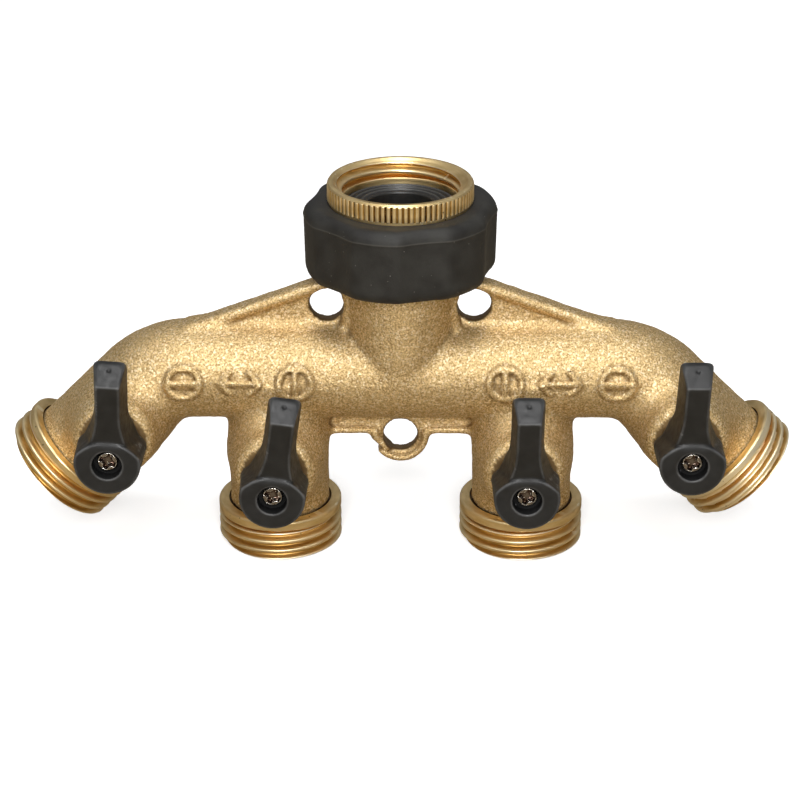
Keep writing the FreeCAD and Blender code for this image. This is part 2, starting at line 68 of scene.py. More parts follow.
CROSSING = Vector((0, 0, MOUNTS["lower_fixing_hole"]["pos_m"][2] - LOWER_HOLE_Z * MM))
VALVES = ("outer_left", "inner_left", "inner_right", "outer_right")
CLEAR = 5.0  # how far a cut runs past the solid that it opens
SLACK = 0.02  # for telling on which stretch of an outline a point lies

# Hose thread
PITCH = 25.4 / 11.5
MALE_R = 13.5
MALE_ROOT_R = 12.2
FEMALE_MINOR_R = 12.3
FEMALE_MAJOR_R = 13.6
CREST_HALF = 0.18
FLANK_WIDTH = 0.75
RUN_OUT = 0.35

# Casting
TUBE_R = 10.7
ARM_R = 10.9
ARM_CROSSING_X = 51.15
ARM_ANGLE = math.radians(45)
BEND_R = 15.0
BEND_START_X = ARM_CROSSING_X - BEND_R * math.tan(ARM_ANGLE / 2)
BEND_END = ARM_CROSSING_X * math.sin(ARM_ANGLE) + BEND_R * math.tan(ARM_ANGLE / 2)
BORE_R = 7.6
PORT_R = 5.4
NECK_R = 11.25
NECK_FOOT_R = 10.45
NECK_FULL_Z = 8.0
NECK_SHOULDER_Z = 29.8
NECK_TURNED_R = 10.3
NECK_TOP_Z = 34.8
RING_GROOVE_R = 9.6
RING_GROOVE_Z = (32.7, 34.0)
NECK_TURNED_FROM_Z = 20.0
LEG_TOP_R = 10.95
LEG_END_R = 10.8
LEG_LENGTH = 31.0
CASTING_END = 13.85
CHAMBER_R = 8.45
CHAMBER_HALF = 7.0
FITTING_HOLE_R = 9.0
BOSS_FACE = 17.0
BOSS_FACE_R = 8.4
BOSS_ROOT = 10.0
BOSS_ROOT_R = 10.2
BOSS_START = 5.0
STEM_HOLE_R = 3.1
POCKET_R = 4.0
POCKET_END = 9.9
WEB_HALF = 1.45
BEAD_HALF = 2.5
BEAD_WIDTH = 2.0
LOWER_BEAD_WIDTH = 1.5
WEB_TOP_INNER = (13.2, 22.3)
WEB_TOP_OUTER = (45.0, 10.6)
LOWER_WEB_Z = -14.9
LUG_R = 6.2
LUG_FLAT_ANGLE = math.radians(47)
LUG_FLAT_REACH = 15.5
LUG_FLAT_END = -19.0
RIB_X = 11.6
RIB_DEPTH = 2.2
RIB_R = 0.85
RIB_BOTTOM = 11.2
INNER_X = 26.6
FIX_HOLE_R = 3.7
UPPER_HOLE = (15.7, 15.5)
FIXING_HOLES = (UPPER_HOLE, (0, LOWER_HOLE_Z))
STOP_RADII = (4.7, 6.1)
STOP_HEIGHT = 1.2
STOP_ROOT = 1.0
STOP_HALF_ANGLE = math.radians(10)
STOP_MIDDLE = math.radians(41)
END_ROUND = 0.5
NECK_FILLET = 1.0
UPPER_WEB_FILLET = 2.2
LOWER_WEB_FILLET = 0.8
LEG_FILLET = 1.6
BOSS_ROUND = 2.2
BOSS_FILLET = 4.0
HOLE_ROUND = 0.15
CASTING_BOX = ((-80.6, -20.1, -33.6), (80.6, 13.5, 36))  # flat outer faces miss the sample planes
CASTING_STEP = 0.5
CAST_TEXTURE = (("casting_lumps", 0.0035, 0.00022), ("casting_grain", 0.0011, 0.00012))

# Raised signs on the casting
MARK_Z = 1.0
SHUT_X = 46.0
OPEN_X = 22.3
ARROW_X = 34.0
MARK_HEIGHT = 0.65
MARK_FILLET = 0.3
MARK_RING_R = 3.5
MARK_BAR = 3.2
MARK_STROKE = 0.6
ARROW_SHAFT = 4.0
ARROW_TIP = 4.3
ARROW_BARB = 2.4
ARROW_STROKE = 0.5

# Outlet fittings, by height above the ball's centre
FITTINGS = {
    "inner": {"end": -22.6, "front_crest": -18.15, "shoulder": -13.3, "ring_height": 2.2},
    "outer": {"end": -20.9, "front_crest": -18.9, "shoulder": -12.9, "ring_height": 1.9},
}
SPIGOT_R = 8.95
SPIGOT_TOP = -7.02
SHOULDER_RECESS_R = 11.1
SHOULDER_RECESS_RIM_R = 11.25
SHOULDER_RECESS_FLOOR = -13.9
MOUTH_R = 9.2
MOUTH_TOP = -14.5
PORT_BOTTOM = -13.0
MALE_LEAD_IN = 0.5
# near-black painted shade laid in the shoulder recess
RECESS_SHADE = 2.0

# Swivel nut
NUT_BOTTOM = 29.9
NUT_TOP = 43.1
NUT_HOLE_R = 10.36
NUT_R = 15.0
NUT_TOP_R = 15.05
NUT_RIM = 0.65
NUT_FLOOR_TOP = 32.6
NUT_CHAMBER_R = 12.6
NUT_LAND = (38.4, 39.1)
NUT_FRONT_CREST = NUT_TOP - 1.55
NUT_LEAD_IN = 1.5
KNURL_BOTTOM = 39.1
KNURL_TOP = 42.5
KNURL_R = 15.4
KNURL_TEETH = 80
KNURL_DEPTH = 0.46
KNURL_GAP = 0.22
KNURL_FLANK = 0.3
# near-black painted shade laid between the knurl's teeth
KNURL_SHADE = 2.4

# Rubber grip
GRIP_R = 20.4
GRIP_BOTTOM = 22.6
GRIP_TOP = 38.7
GRIP_BOTTOM_ROUND = 2.6
GRIP_TOP_ROUND = 2.5
GRIP_NECK_HOLE_R = 11.8
GRIP_NUT_HOLE_R = 15.1
GRIP_FLOOR_TOP = 30.0
GRIP_DRAFT = 0.35
FLUTES = 6
FLUTE_DEPTH = 1.2
FLUTE_R = 28.0
FLUTE_ROUND = 0.5
FIRST_FLUTE = math.radians(-75)
PARTING_Z = GRIP_TOP - GRIP_TOP_ROUND
PARTING_RISE = 0.1
PARTING_WIDTH = 0.2

# Inlet washer
WASHER_BOTTOM = NECK_TOP_Z + 0.05
WASHER_TOP = NECK_TOP_Z + 2.9
WASHER_RADII = (7.4, 12.5)
WASHER_RIBS = (8.6, 10.0, 11.4)
WASHER_RIB_WIDTH = 0.25
WASHER_RIB_HEIGHT = 0.4

# Lever, by its depth in front of the ball's centre and its height above it
HUB_BACK = 17.2
HUB_FRONT = 28.0
HUB_BACK_R = 7.2
HUB_FRONT_R = 6.95
HIP_HEIGHT = 5.0
HIP_SLOPE = math.radians(40)
HIP_REACH = 5.75
HIP_DRAFT = 0.05
HIP_ROUND = 2.0
HUB_ROUND = 0.6
HUB_CHAMFER = (3.9, 0.4)
BLADE_FOOT = (27.45, 4.9)
BLADE_FRONT_HALF = 2.5
BLADE_BACK_HALF = 3.55
BLADE_BACK = 18.4
BACK_BEND = (21.0, 9.0)
BACK_SLOPES = (0.3185, 0.8667)
FRONT_FLARE_R = 24.0
BACK_FLARE_R = 20.5
FLARE_TOP = 12.0
BLADE_TOP = 22.6
CREST = (31.0, 19.0)
TIP_FRONT = 26.3
TIP_ROUND = 1.5
BACK_SCALE = 0.9  # these two keep a sloping face's field near a true distance
SIDE_SCALE = 0.93
DIMPLE = (27.9, 21.55)
DIMPLE_R = 0.42
STOP_SLOT_R = 5.4
STOP_SLOT_HALF = 0.85
STOP_SLOT_HALF_ANGLE = math.radians(60)
STOP_SLOT_DEPTH = 0.05
COUNTERBORE_R = 3.1
COUNTERBORE_DROP = 0.3
COUNTERBORE_FLOOR = 25.1
SOCKET_HALF = 2.15
SOCKET_END = 23.0
LEVER_FRONT_CLEAR = 40.0
OPEN_STOP = 8.0
LEVER_BOX = ((-8.1, -32.05, -8.05), (8.1, -16.6, 23.4))
LEVER_STEP = 0.2

# Lever screw
SCREW_HEAD_R = 2.25
SCREW_HEAD_HEIGHT = 1.6
SCREW_HEAD_ROUND = 1.1
SCREW_R = 1.2
SCREW_HOLE_GAP = 0.1
SCREW_TIP = 15.6
SCREW_TURN = 0.35
CROSS_REACH = 1.85
CROSS_HALF = 0.60
CROSS_FILLET = 1.2
CROSS_DEPTH = 1.2
CROSS_TAPER = 0.25
SCREW_BOX = ((-2.6, -26.5, -2.6), (2.6, -15.2, 2.6))
SCREW_STEP = 0.08

# Studio: places and sizes are in metres, power is in watts, and the lens and sensor are in millimetres
ROOM_LIGHT = (0.17, 0.34)
ROOM_LIGHT_FULL = 0.6
FLOOR_SEEN = (0.96, 0.96, 0.96)
FLOOR_GLOW = 0.45
FLOOR_BOUNCE = (0.36, 0.30, 0.21)
SOFTBOXES = (
    ("overhead", (0.0, -0.20, 0.72), (0.25, 0.25), 2.9),
    ("front", (0.0, -0.78, 0.38), (0.30, 0.30), 6.2),
    ("left", (-0.55, -0.43, 0.60), (0.06, 0.06), 0.30),
    ("right", (0.55, -0.43, 0.60), (0.06, 0.06), 0.30),
)
FLOOR_SIZE = 6
CAMERA_PLACE = (0, -0.464, 0.212)  # from the crossing
CAMERA_PITCH = math.radians(66.0)
CAMERA_YAW = 0.006
CAMERA_LENS = 106.2
CAMERA_SENSOR = 36
CAMERA_SHIFT = (-0.0006, -0.069)
CAMERA_CLIP = 20


# ---------------------------------------------------------------- distance fields

class Grid:
    """A box of sample points in millimetres, for shapes given by their distance field."""

    def __init__(self, low, high, step):
        self.low = np.array(low, float)
        self.step = step
        axes = [np.arange(a, b + step, step) for a, b in zip(low, high)]
        self.x, self.y, self.z = np.meshgrid(*axes, indexing="ij", sparse=True)

    def surface(self, distance):
        """The points and faces of the surface where the distance is nil."""
        reach = 3 * self.step
        field = openvdb.FloatGrid()
        field.background = reach
        field.copyFromArray(np.clip(distance, -reach, reach).astype(np.float32))
        points, triangles, quads = field.convertToPolygons(isovalue=0.0, adaptivity=0.0)
        points = points.astype(float) * self.step + self.low
        return points, [tuple(face) for corners in (triangles, quads) for face in corners.tolist()]


def union(a, b, blend=0.0):
    """Two solids joined, with a fillet of about the blend's size along their crease."""
    if blend == 0.0:
        return np.minimum(a, b)
    bite = np.maximum(blend - np.abs(a - b), 0.0) / blend
    return np.minimum(a, b) - bite * bite * blend / 4


def overlap(a, b, blend=0.0):
    """What two solids share, with the edge between them rounded by the blend."""
    return -union(-a, -b, blend)


def cut(a, b, blend=0.0):
    """One solid with another taken away, its edge rounded by the blend."""
    return overlap(a, -b, blend)


def stroke(x, z, start, end, half_width):
    """Distance to a round-ended stroke between two points of a plane."""
    across, up = end[0] - start[0], end[1] - start[1]
    share = ((x - start[0]) * across + (z - start[1]) * up) / (across * across + up * up)
    share = np.clip(share, 0, 1)
    return np.hypot(x - start[0] - share * across, z - start[1] - share * up) - half_width


# ---------------------------------------------------------------- meshes

def add_mesh(name, points, faces, turn=0.0, centre=None):
    """An object from points in millimetres, turned about Y and moved from the crossing to its centre."""
    mesh = bpy.data.meshes.new(name)
    mesh.from_pydata([tuple(point) for point in np.asarray(points).tolist()], [], faces)
    place = CROSSING if centre is None else centre
    mesh.transform(Matrix.Translation(place) @ Matrix.Rotation(turn, 4, "Y") @ Matrix.Scale(MM, 4))
    mesh.validate()
    if signed_volume(mesh) < 0:
        mesh.flip_normals()
    mesh.polygons.foreach_set("use_smooth", [True] * len(mesh.polygons))
    mesh.update()
    obj = bpy.data.objects.new(name, mesh)
    bpy.context.scene.collection.objects.link(obj)
    return obj


def signed_volume(mesh):
    """A closed mesh's volume, which is negative where its faces look inwards."""
    mesh.calc_loop_triangles()
    corners = np.empty(len(mesh.loop_triangles) * 3, np.int32)
    mesh.loop_triangles.foreach_get("vertices", corners)
    points = np.empty(len(mesh.vertices) * 3)
    mesh.vertices.foreach_get("co", points)
    a, b, c = points.reshape(-1, 3)[corners.reshape(-1, 3)].transpose(1, 0, 2)
    return float(np.einsum("ij,ij->i", a, np.cross(b, c)).sum()) / 6


def rounded(corners, step=0.5):
    """A closed outline from (radius, height, rounding) corners, with arcs at the corners."""
    points = []
    count = len(corners)
    for index, (radius, height, rounding) in enumerate(corners):
        here = np.array([radius, height], float)
        before = np.array(corners[index - 1][:2], float) - here
        after = np.array(corners[(index + 1) % count][:2], float) - here
        before /= np.linalg.norm(before)
        after /= np.linalg.norm(after)
        if rounding == 0:
            points.append(here)
            continue
        half = math.acos(float(np.clip(before @ after, -1, 1))) / 2
        centre = here + (before + after) / np.linalg.norm(before + after) * rounding / math.sin(half)
        start = here + before * rounding / math.tan(half) - centre
        end = here + after * rounding / math.tan(half) - centre
        sweep = math.pi - 2 * half
        pieces = max(2, int(sweep / math.radians(15)) + 1)
        for piece in range(pieces + 1):
            share = piece / pieces
            mix = (math.sin((1 - share) * sweep) * start + math.sin(share * sweep) * end) / math.sin(sweep)
            points.append(centre + mix)
    filled = []
    for index, point in enumerate(points):
        following = points[(index + 1) % len(points)]
        pieces = max(1, int(np.linalg.norm(following - point) / step + 0.999))
        for piece in range(pieces):
            filled.append(point + (following - point) * piece / pieces)
    return np.array(filled)


def turned(name, outline, segments, relief, turn=0.0, centre=None):
    """A ring-shaped solid: a closed outline carried round Z, with its radius changed by the relief.

    Two attributes guide the materials. Turning holds radius, height and distance from the XZ plane, for the
    machining marks. Hollow is the relief's second result: 0 on a crest, 1 at the bottom of a thread, more
    where near-black shade is painted in gaps, and below 0 on what stands proud.
    """
    angle = np.arange(segments) * 2 * math.pi / segments
    radius, height = [np.repeat(column[:, None], segments, axis=1) for column in outline.T]
    radius, hollow = relief(radius, height, np.repeat(angle[None, :], len(outline), axis=0))
    points = np.stack([radius * np.cos(angle), radius * np.sin(angle), height], axis=-1).reshape(-1, 3)
    row = np.arange(len(outline))[:, None] * segments
    column = np.arange(segments)[None, :]
    next_row = (row + segments) % (len(outline) * segments)
    next_column = (column + 1) % segments
    faces = np.stack([row + column, row + next_column, next_row + next_column, next_row + column], axis=-1)
    obj = add_mesh(name, points, faces.reshape(-1, 4).tolist(), turn, centre)
    turning = np.stack([radius, height, np.sin(angle)[None, :] * radius], axis=-1).reshape(-1, 3) * MM
    attribute = obj.data.attributes.new("turning", "FLOAT_VECTOR", "POINT")
    attribute.data.foreach_set("vector", turning.ravel())
    attribute = obj.data.attributes.new("hollow", "FLOAT", "POINT")
    attribute.data.foreach_set("value", hollow.ravel())
    return obj


def thread_height(height, angle, front_crest):
    """How high a right-hand hose thread stands, from 0 in its root to 1 on its crest.

    One crest's height at the front, on the -Y side, is given.
    """
    phase = (height - front_crest) / PITCH - (angle + math.pi / 2) / (2 * math.pi)
    from_crest = np.abs(phase - np.round(phase)) * PITCH
    flank = np.clip((CREST_HALF + FLANK_WIDTH - from_crest) / FLANK_WIDTH, 0, 1)
    return flank * flank * (3 - 2 * flank)


def shown_for(obj, node, body, material):
    """The object stands for a CAD node, moves with a body and takes a material."""
    obj.data.materials.clear()
    obj.data.materials.append(material)
    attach(obj, body)
    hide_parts(node)


# ---------------------------------------------------------------- materials

class Finish:
    """A material's node tree, with short ways to add its nodes. Lengths in it are metres.

    The colour and roughness that it starts with hold only where nothing is linked to them afterwards.
    """

    def __init__(self, name, color, metallic, roughness):
        self.material = bpy.data.materials.new(name)
        self.material.use_nodes = True
        self.tree = self.material.node_tree
        self.shader = self.tree.nodes["Principled BSDF"]
        self.shader.inputs["Base Color"].default_value = (*color, 1)
        self.shader.inputs["Metallic"].default_value = metallic
        self.shader.inputs["Roughness"].default_value = roughness
        self.place = self.tree.nodes.new("ShaderNodeTexCoord").outputs["Object"]

    def add(self, kind, settings=None, **inputs):
        node = self.tree.nodes.new(kind)
        for key, value in (settings or {}).items():
            setattr(node, key, value)
        for key, value in inputs.items():
            self.put(node, key.replace("_", " "), value)
        return node

    def put(self, node, name, value):
        socket = node.inputs[name]
        if isinstance(value, bpy.types.NodeSocket):
            self.tree.links.new(value, socket)
        else:
            socket.default_value = value

    def set(self, name, value):
        self.put(self.shader, name, value)

    def noise(self, size, detail=2.0, vector=None, roughness=0.5):
        """Soft noise with lumps of about the given size."""
        node = self.add("ShaderNodeTexNoise", Scale=1 / size, Detail=detail, Roughness=roughness)
        self.tree.links.new(vector or self.place, node.inputs["Vector"])
        return node.outputs["Fac"]

    def cells(self, size, output="Distance"):
        """Random points about the given size apart: the distance to the nearest, or its own colour."""
        node = self.add("ShaderNodeTexVoronoi", Scale=1 / size)
        self.tree.links.new(self.place, node.inputs["Vector"])
        return node.outputs[output]

    def stretched(self, along):
        """The turning attribute, scaled so that noise on it draws rings round the axis."""
        source = self.add("ShaderNodeAttribute", {"attribute_name": "turning"})
        mapping = self.add("ShaderNodeMapping", Scale=along)
        self.tree.links.new(source.outputs["Vector"], mapping.inputs["Vector"])
        return mapping.outputs["Vector"]

    def remap(self, value, low, high, to_low=0.0, to_high=1.0):
        node = self.add("ShaderNodeMapRange")
        self.tree.links.new(value, node.inputs["Value"])
        for name, number in (("From Min", low), ("From Max", high), ("To Min", to_low), ("To Max", to_high)):
            node.inputs[name].default_value = number
        return node.outputs["Result"]

    def math(self, operation, a, b=0.0):
        node = self.add("ShaderNodeMath", {"operation": operation})
        for socket, value in zip(node.inputs, (a, b)):
            if isinstance(value, bpy.types.NodeSocket):
                self.tree.links.new(value, socket)
            else:
                socket.default_value = value
        return node.outputs["Value"]

    def mix(self, share, a, b):
        """Colour a, with colour b laid over it by the share."""
        node = self.add("ShaderNodeMix", {"data_type": "RGBA"})
        for name, value in (("Factor", share), ("A", a), ("B", b)):
            sockets = [socket for socket in node.inputs if socket.name == name and socket.enabled]
            if isinstance(value, bpy.types.NodeSocket):
                self.tree.links.new(value, sockets[0])
            else:
                sockets[0].default_value = (*value, 1) if isinstance(value, tuple) else value
        return [socket for socket in node.outputs if socket.enabled][0]

    def attribute(self, name):
        """A number stored on the mesh."""
        return self.add("ShaderNodeAttribute", {"attribute_name": name}).outputs["Fac"]

    def edges(self, low, high):
        """1 along sharp outer edges, fading to 0 on flat faces and in creases."""
        pointiness = self.add("ShaderNodeNewGeometry").outputs["Pointiness"]
        return self.remap(pointiness, low, high)

    def bump(self, height, distance, strength=1.0, under=None):
        node = self.add("ShaderNodeBump", Strength=strength, Distance=distance)
        self.tree.links.new(height, node.inputs["Height"])
        if under:
            self.tree.links.new(under, node.inputs["Normal"])
        self.tree.links.new(node.outputs["Normal"], self.shader.inputs["Normal"])
        return node.outputs["Normal"]


def cast_brass():
    """Sand-cast brass: tan grain, painted glints, rare pits, painted shade in creases and on the smooth machined
    faces.
    """
    finish = Finish("cast_brass", (0.5, 0.35, 0.17), 0.85, 0.55)
    grain = finish.noise(0.00040, 3.0, roughness=0.65)
    blotches = finish.noise(0.006, 3.0)
    color = finish.mix(finish.remap(grain, 0.38, 0.62), (0.34, 0.21, 0.075), (0.84, 0.63, 0.33))
    color = finish.mix(finish.remap(blotches, 0.3, 0.7, 0.0, 0.3), color, (0.60, 0.43, 0.20))
    pits = finish.remap(finish.cells(0.0070), 0.02, 0.035, 0.85, 0.0)
    color = finish.mix(pits, color, (0.10, 0.06, 0.03))
    glint = finish.remap(finish.cells(0.00036, "Color"), 0.70, 0.8)
    # painted highlight: pale cream glints laid on scattered grain cells
    color = finish.mix(finish.math("MULTIPLY", glint, 0.55), color, (1.0, 0.86, 0.6))
    # painted shade: dark brown laid in the creases
    color = finish.mix(finish.edges(0.49, 0.45), color, (0.23, 0.14, 0.055))
    machined = finish.attribute("machined")
    # painted shade: the machined faces, mostly the boss faces behind the levers, are dark brown as if shadowed
    machined_shade = finish.mix(finish.remap(blotches, 0.35, 0.65), (0.16, 0.10, 0.045), (0.24, 0.155, 0.07))
    finish.set("Base Color", finish.mix(machined, color, machined_shade))
    rough = finish.remap(grain, 0.3, 0.7, 0.58, 0.48)
    finish.set("Roughness", finish.math("SUBTRACT", rough, finish.math("MULTIPLY", glint, 0.14)))
    lumps = finish.bump(finish.noise(0.0016, 2.0), 0.00016, 0.5)
    finish.bump(grain, 0.00020, finish.remap(machined, 0.0, 1.0, 1.0, 0.15), lumps)
    return finish.material


def turned_brass():
    """Machined brass, fine turning rings, dark pits: painted pale highlights on crests, painted orange and black
    shade in hollows.
    """
    finish = Finish("turned_brass", (0.86, 0.60, 0.27), 1.0, 0.24)
    rings = finish.noise(1.0, 2.0, finish.stretched((9000, 9000, 150)))
    smears = finish.noise(1.0, 3.0, finish.stretched((600, 600, 260)))
    hollow = finish.attribute("hollow")
    color = finish.mix(finish.remap(smears, 0.3, 0.7), (0.68, 0.48, 0.20), (0.90, 0.70, 0.37))
    # painted shade: orange-brown in the thread roots
    painted_root_shade = finish.mix(finish.remap(smears, 0.35, 0.65), (0.46, 0.255, 0.06), (0.75, 0.47, 0.15))
    color = finish.mix(finish.remap(hollow, 0.35, 0.95), color, painted_root_shade)
    # painted highlight: pale cream along sharp edges and thread crests
    color = finish.mix(finish.edges(0.51, 0.56), color, (1.0, 0.86, 0.58))
    # painted shade: patchy near-black in the shoulder recess and between the knurl's teeth
    gap_shade_mask = finish.remap(hollow, 1.1, 1.8)
    painted_gap_shade = finish.math("MULTIPLY", gap_shade_mask, finish.remap(smears, 0.35, 0.5, 0.55, 1.0))
    color = finish.mix(painted_gap_shade, color, (0.055, 0.032, 0.014))
    pits = finish.remap(finish.cells(0.0030), 0.04, 0.08, 0.85, 0.0)
    color = finish.mix(pits, color, (0.10, 0.055, 0.03))
    finish.set("Base Color", color)
    finish.set("Roughness", finish.remap(smears, 0.25, 0.75, 0.34, 0.50))
    finish.bump(rings, 0.00002, 0.5, finish.bump(finish.noise(0.0007, 3.0), 0.00005, 0.35))
    return finish.material


def grip_rubber():
    """Matt black rubber with a bloom on it and small pale specks of dust."""
    finish = Finish("grip_rubber", (0.035, 0.034, 0.032), 0.0, 0.62)
    bloom = finish.noise(0.004, 4.0)
    color = finish.mix(finish.remap(bloom, 0.3, 0.7), (0.012, 0.011, 0.010), (0.024, 0.023, 0.020))
    finish.set("Specular IOR Level", 0.35)
    speck = finish.remap(finish.cells(0.0013), 0.04, 0.07, 0.8, 0.0)
    speck = finish.math("MULTIPLY", speck, finish.remap(finish.noise(0.003), 0.42, 0.6))
    color = finish.mix(speck, color, (0.34, 0.32, 0.28))
    parting = finish.attribute("hollow")
    color = finish.mix(finish.remap(parting, -0.3, -1.0, 0.0, 0.3), color, (0.12, 0.115, 0.10))
    finish.set("Base Color", color)
    finish.set("Roughness", finish.remap(bloom, 0.3, 0.7, 0.52, 0.66))
    finish.bump(finish.noise(0.0004, 3.0), 0.00005, 0.6)
    return finish.material


def lever_plastic():
    """Fine-textured black moulded plastic, with a patchy painted highlight along its edges."""
    finish = Finish("lever_plastic", (0.030, 0.031, 0.033), 0.0, 0.42)
    wear = finish.noise(0.003, 4.0)
    color = finish.mix(finish.remap(wear, 0.3, 0.7), (0.009, 0.009, 0.009), (0.016, 0.016, 0.016))
    finish.set("Specular IOR Level", finish.remap(finish.attribute("machined"), 0.0, 1.0, 0.35, 0.02))
    # painted highlight: patchy pale grey along sharp edges
    painted_edge_highlight = finish.math("MULTIPLY", finish.edges(0.507, 0.54), finish.remap(wear, 0.3, 0.6, 0.3, 0.8))
    color = finish.mix(painted_edge_highlight, color, (0.12, 0.12, 0.12))
    finish.set("Base Color", color)
    finish.set("Roughness", finish.remap(finish.noise(0.0012, 3.0), 0.3, 0.7, 0.36, 0.5))
    finish.bump(finish.noise(0.00028, 2.0), 0.00003, 0.5)
    return finish.material


def screw_nickel():
    """Nickel-plated steel with fine scratches, painted bright highlights on its rims and painted dark brown shade
    elsewhere.
    """
    finish = Finish("screw_nickel", (0.80, 0.77, 0.71), 1.0, 0.18)
    scratches = finish.noise(0.0003, 4.0)
    # painted highlight on the sharp rims; painted dark brown shade and dark reflection everywhere else, the recess
    # too
    color = finish.mix(finish.edges(0.49, 0.56), (0.075, 0.045, 0.032), (0.95, 0.92, 0.86))
    finish.set("Base Color", color)
    finish.set("Roughness", finish.remap(scratches, 0.3, 0.7, 0.16, 0.36))
    finish.bump(scratches, 0.00002, 0.4)
    return finish.material


def seal_rubber():
    """Black washer rubber, its ribs worn pale."""
    finish = Finish("seal_rubber", (0.022, 0.022, 0.022), 0.0, 0.4)
    uneven = finish.noise(0.0009, 3.0)
    color = finish.mix(finish.remap(uneven, 0.3, 0.7), (0.008, 0.008, 0.008), (0.015, 0.0145, 0.0135))
    worn = finish.remap(finish.attribute("hollow"), -0.35, -0.95, 0.0, 0.7)
    finish.set("Base Color", finish.mix(worn, color, (0.07, 0.07, 0.066)))
    finish.bump(uneven, 0.00004, 0.5)
    return finish.material


def plain_finish(name, color, metallic, roughness, lump, depth):
    """A plain material with slight unevenness in its colour, gloss and surface."""
    finish = Finish(name, color, metallic, roughness)
    uneven = finish.noise(lump, 3.0)
    darker = tuple(0.8 * channel for channel in color)
    finish.set("Base Color", finish.mix(finish.remap(uneven, 0.3, 0.7), darker, color))
    finish.set("Roughness", finish.remap(uneven, 0.3, 0.7, roughness * 0.85, min(1.0, roughness * 1.15)))
    finish.bump(uneven, depth, 0.5)
    return finish.material


MATERIALS = {
    "cast_brass": cast_brass(),
    "turned_brass": turned_brass(),
    "rubber": grip_rubber(),
    "lever_plastic": lever_plastic(),
    "screw_steel": screw_nickel(),
    "spring_steel": plain_finish("spring_steel", (0.56, 0.56, 0.57), 1.0, 0.3, 0.0006, 0.00002),
    "ptfe": plain_finish("ptfe", (0.86, 0.86, 0.83), 0.0, 0.35, 0.002, 0.00002),
    "seal_rubber": seal_rubber(),
}


# ---------------------------------------------------------------- casting

def bent_run(grid, tube_radius, arm_radius):
    """The cross tube and its two outer arms, as one round bar that bends down at each side."""
    x = np.abs(grid.x)
    past_start = x - BEND_START_X
    above_centre = grid.z + BEND_R
    angle = np.clip(np.arctan2(past_start, above_centre), 0, ARM_ANGLE)
    straight = np.hypot(grid.y, grid.z)
    in_bend = np.hypot(np.hypot(past_start, above_centre) - BEND_R, grid.y)
    off_arm = (x - ARM_CROSSING_X) * math.sin(ARM_ANGLE) + grid.z * math.cos(ARM_ANGLE)
    in_arm = np.hypot(off_arm, grid.y)
    bar = np.where(past_start < 0, straight, np.where(angle < ARM_ANGLE, in_bend, in_arm))
    return bar - (tube_radius + (arm_radius - tube_radius) * angle / ARM_ANGLE)


def arm_reach(along):
    """How far down the arms' direction from the crossing a place along an outer outlet's axis lies."""
    centre, axis = valve_place("outer_right")
    return centre.x * axis.x + centre.z * axis.z + along


def valve_place(name):
    """A valve's ball centre in millimetres from the crossing, and its outlet's direction."""
    centre = (Vector(JOINTS["lever_turn_" + name]["pos_m"]) - CROSSING) / MM
    return centre, Vector(MOUNTS["outlet_" + name]["axis"])


def is_upright(axis):
    """Whether an outlet leaves straight down, as the inner ones do."""
    return abs(axis.x) < 0.01


def down_arms(grid):
    """How far down the arms' direction from the crossing each point lies."""
    return np.abs(grid.x) * math.sin(ARM_ANGLE) - grid.z * math.cos(ARM_ANGLE)


def along_and_off(grid, centre, axis):
    """Each point's distance along an outlet's axis from the ball's centre, and its distance off the axis."""
    x, z = grid.x - centre.x, grid.z - centre.z
    along = x * axis.x + z * axis.z
    return along, np.hypot(x * axis.z - z * axis.x, grid.y)


def rod(along, off, radius, start, end):
    """A round bar along an axis."""
    return np.maximum(off - radius, np.maximum(start - along, along - end))


def web_edge(grid):
    """Distance above the upper webs' top edge, which is level under the grip and then slopes down."""
    (x0, z0), (x1, z1) = WEB_TOP_INNER, WEB_TOP_OUTER
    slope = math.atan2(z0 - z1, x1 - x0)
    sloped = (np.abs(grid.x) - x0) * math.sin(slope) + (grid.z - z0) * math.cos(slope)
    return np.maximum(sloped, grid.z - z0)


def plate(outline, thick, bead_width, blend):
    """A web in the mid plane with a raised bead inside its outline."""
    web = np.maximum(outline, thick - WEB_HALF)
    bead = overlap(np.maximum(outline, -outline - bead_width), thick - BEAD_HALF, 1.0)
    return union(web, bead, blend)


def upper_webs(grid):
    """The sloping webs beside the neck, with a short rib between each fixing hole and the neck."""
    x, thick = np.abs(grid.x), np.abs(grid.y)
    outline = np.maximum(web_edge(grid), np.maximum(x - WEB_TOP_OUTER[0], -grid.z))
    web = plate(outline, thick, BEAD_WIDTH, 0.9)
    beside = np.hypot(x - RIB_X, thick - RIB_DEPTH)
    past_end = np.maximum(RIB_BOTTOM - grid.z, 0)
    rib = np.maximum(np.hypot(beside, past_end) - RIB_R, grid.z - WEB_TOP_INNER[1])
    return union(web, rib, 0.4)


def lower_web(grid):
    """The narrow web between the inner legs, with a lug, flat at one side, round the lower fixing hole."""
    x, z = grid.x, grid.z
    flat = -x * math.sin(LUG_FLAT_ANGLE) - z * math.cos(LUG_FLAT_ANGLE) - LUG_FLAT_REACH
    lug = np.hypot(x, z - LOWER_HOLE_Z) - LUG_R
    lug = np.maximum(lug, np.where(z > LUG_FLAT_END, flat, -LUG_R))
    outline = union(LOWER_WEB_Z - z, lug, 1.6)
    outline = np.maximum(outline, np.maximum(z, np.abs(x) - INNER_X))
    return plate(outline, np.abs(grid.y), LOWER_BEAD_WIDTH, 0.4)


